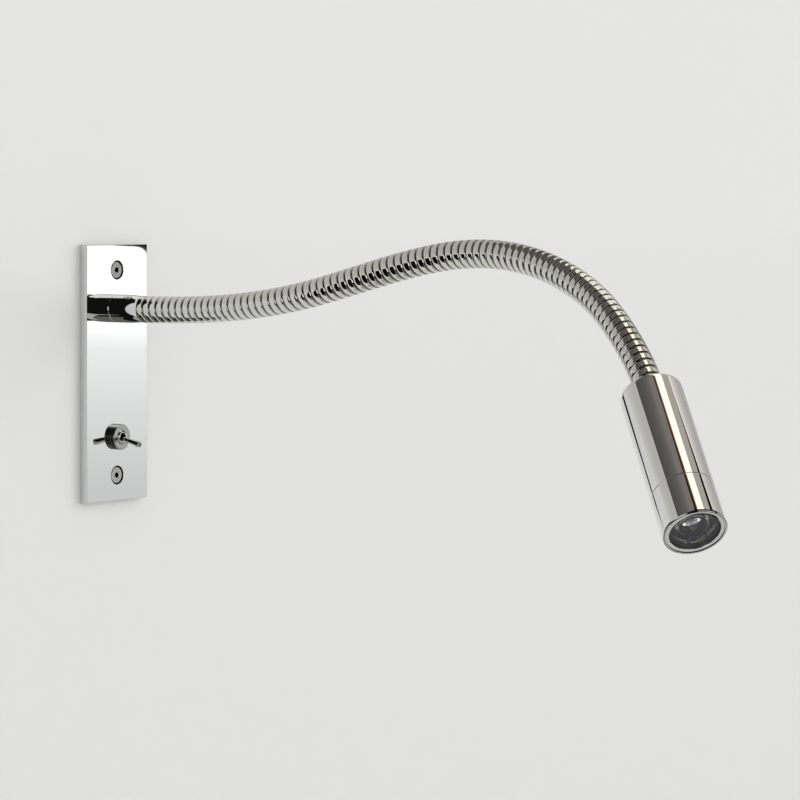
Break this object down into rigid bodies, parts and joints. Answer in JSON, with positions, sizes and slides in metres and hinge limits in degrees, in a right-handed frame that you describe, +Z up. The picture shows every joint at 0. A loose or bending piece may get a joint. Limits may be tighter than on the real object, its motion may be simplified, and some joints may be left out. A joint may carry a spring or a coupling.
{
  "type": "bedside wall reading lamp",
  "caption": "Polished wall plate with a toggle switch and a flexible strip-wound arm that carries a small cylindrical LED spot head.",
  "frame": {"origin": "middle of the wall plate's back face, on the wall", "axes": "+Y into the wall, -Y into the room, +Z up, +X to the right as seen from the room"},
  "size_m": [0.1211, 0.4235, 0.1248],
  "materials": {
    "chrome": "mirror polished chrome plate on brass or steel",
    "hose_chrome": "polished chrome plated strip-wound hose",
    "spine_steel": "plain steel spring",
    "screw_steel": "nickel plated steel",
    "zinc_steel": "galvanised sheet steel",
    "nut_brass": "turned brass",
    "terminal_brass": "tinned brass",
    "black_rubber": "moulded EPDM",
    "switch_plastic": "moulded phenolic",
    "driver_plastic": "moulded polycarbonate",
    "terminal_plastic": "moulded polyamide",
    "lead_pvc": "extruded PVC",
    "sink_aluminium": "extruded, natural anodised",
    "board_white": "white solder mask on an aluminium base",
    "emitter_phosphor": "silicone dome over phosphor",
    "optic_acrylic": "clear moulded acrylic",
    "holder_plastic": "moulded black polycarbonate",
    "window_glass": "clear polished glass"
  },
  "bodies": {
    "wall_unit": {"back_plate": "chrome", "plate_screw_top": "screw_steel", "plate_screw_bottom": "screw_steel", "wall_box": "zinc_steel", "cable_grommet": "black_rubber", "arm_ferrule": "chrome", "ferrule_washer": "screw_steel", "ferrule_nut": "nut_brass", "dress_ring": "chrome", "switch_bush": "chrome", "switch_body": "switch_plastic", "switch_terminals": "terminal_brass", "switch_washer": "screw_steel", "switch_nut": "nut_brass", "led_driver": "driver_plastic", "terminal_block": "terminal_plastic", "terminal_screws": "terminal_brass", "earth_tag": "terminal_brass", "earth_screw": "terminal_brass", "arm_winding_00": "hose_chrome", "arm_link_00": "spine_steel", "arm_lead": "lead_pvc"},
    "switch_lever": {"toggle_lever": "chrome"},
    "arm_01": {"arm_winding_01": "hose_chrome", "arm_link_01": "spine_steel"},
    "arm_02": {"arm_winding_02": "hose_chrome", "arm_link_02": "spine_steel"},
    "arm_03": {"arm_winding_03": "hose_chrome", "arm_link_03": "spine_steel"},
    "arm_04": {"arm_winding_04": "hose_chrome", "arm_link_04": "spine_steel"},
    "arm_05": {"arm_winding_05": "hose_chrome", "arm_link_05": "spine_steel"},
    "arm_06": {"arm_winding_06": "hose_chrome", "arm_link_06": "spine_steel"},
    "arm_07": {"arm_winding_07": "hose_chrome", "arm_link_07": "spine_steel"},
    "arm_08": {"arm_winding_08": "hose_chrome", "arm_link_08": "spine_steel"},
    "arm_09": {"arm_winding_09": "hose_chrome", "arm_link_09": "spine_steel"},
    "arm_10": {"arm_winding_10": "hose_chrome", "arm_link_10": "spine_steel"},
    "arm_11": {"arm_winding_11": "hose_chrome", "arm_link_11": "spine_steel"},
    "spot_head": {"arm_winding_12": "hose_chrome", "arm_link_12": "spine_steel", "head_fitting": "nut_brass", "head_nut": "nut_brass", "head_barrel": "chrome", "heat_sink": "sink_aluminium", "led_board": "board_white", "led_emitter": "emitter_phosphor", "board_screws": "screw_steel", "tir_lens": "optic_acrylic", "lens_holder": "holder_plastic", "front_glass": "window_glass", "glass_gasket": "black_rubber", "front_bezel": "chrome"}
  },
  "joints": [
    {"name": "lever_toggle", "type": "hinge", "parent": "wall_unit", "child": "switch_lever", "pos_m": [0, -0.005, -0.03], "axis": [-1, 0, 0], "range_deg": [0, 28]},
    {"name": "arm_sway_1", "type": "hinge", "parent": "wall_unit", "child": "arm_01", "pos_m": [-0.00004, -0.03398, 0.03004], "axis": [0.0002, 0.0156, 0.9999], "range_deg": [-15, 15], "deforming": ["arm_lead"]},
    {"name": "arm_lift_1", "type": "hinge", "parent": "arm_01", "child": "arm_02", "pos_m": [-0.00093, -0.06189, 0.03115], "axis": [-0.9992, 0.0411, 0], "range_deg": [-15, 15]},
    {"name": "arm_sway_2", "type": "hinge", "parent": "arm_02", "child": "arm_03", "pos_m": [-0.00215, -0.08968, 0.03396], "axis": [0.0039, 0.1375, 0.9905], "range_deg": [-15, 15]},
    {"name": "arm_lift_2", "type": "hinge", "parent": "arm_03", "child": "arm_04", "pos_m": [-0.00238, -0.11717, 0.03895], "axis": [-1, -0.0003, 0], "range_deg": [-15, 15]},
    {"name": "arm_sway_3", "type": "hinge", "parent": "arm_04", "child": "arm_05", "pos_m": [-0.00235, -0.14423, 0.04598], "axis": [0.0011, 0.2596, 0.9657], "range_deg": [-15, 15]},
    {"name": "arm_lift_3", "type": "hinge", "parent": "arm_05", "child": "arm_06", "pos_m": [-0.00263, -0.17126, 0.05309], "axis": [-0.9998, 0.0207, 0], "range_deg": [-15, 15]},
    {"name": "arm_sway_4", "type": "hinge", "parent": "arm_06", "child": "arm_07", "pos_m": [-0.00376, -0.19876, 0.05786], "axis": [0.0077, 0.0973, 0.9952], "range_deg": [-15, 15]},
    {"name": "arm_lift_4", "type": "hinge", "parent": "arm_07", "child": "arm_08", "pos_m": [-0.00739, -0.22643, 0.05806], "axis": [-0.9828, 0.1846, 0], "range_deg": [-15, 15]},
    {"name": "arm_sway_5", "type": "hinge", "parent": "arm_08", "child": "arm_09", "pos_m": [-0.01395, -0.25311, 0.05311], "axis": [-0.0755, -0.2488, 0.9656], "range_deg": [-15, 15]},
    {"name": "arm_lift_5", "type": "hinge", "parent": "arm_09", "child": "arm_10", "pos_m": [-0.02293, -0.27783, 0.04375], "axis": [-0.9171, 0.3986, 0], "range_deg": [-15, 15]},
    {"name": "arm_sway_6", "type": "hinge", "parent": "arm_10", "child": "arm_11", "pos_m": [-0.03422, -0.29961, 0.03041], "axis": [-0.2707, -0.4581, 0.8467], "range_deg": [-15, 15]},
    {"name": "arm_lift_6", "type": "hinge", "parent": "arm_11", "child": "spot_head", "pos_m": [-0.04665, -0.31898, 0.01456], "axis": [-0.8166, 0.5773, 0], "range_deg": [-15, 15]}
  ]
}
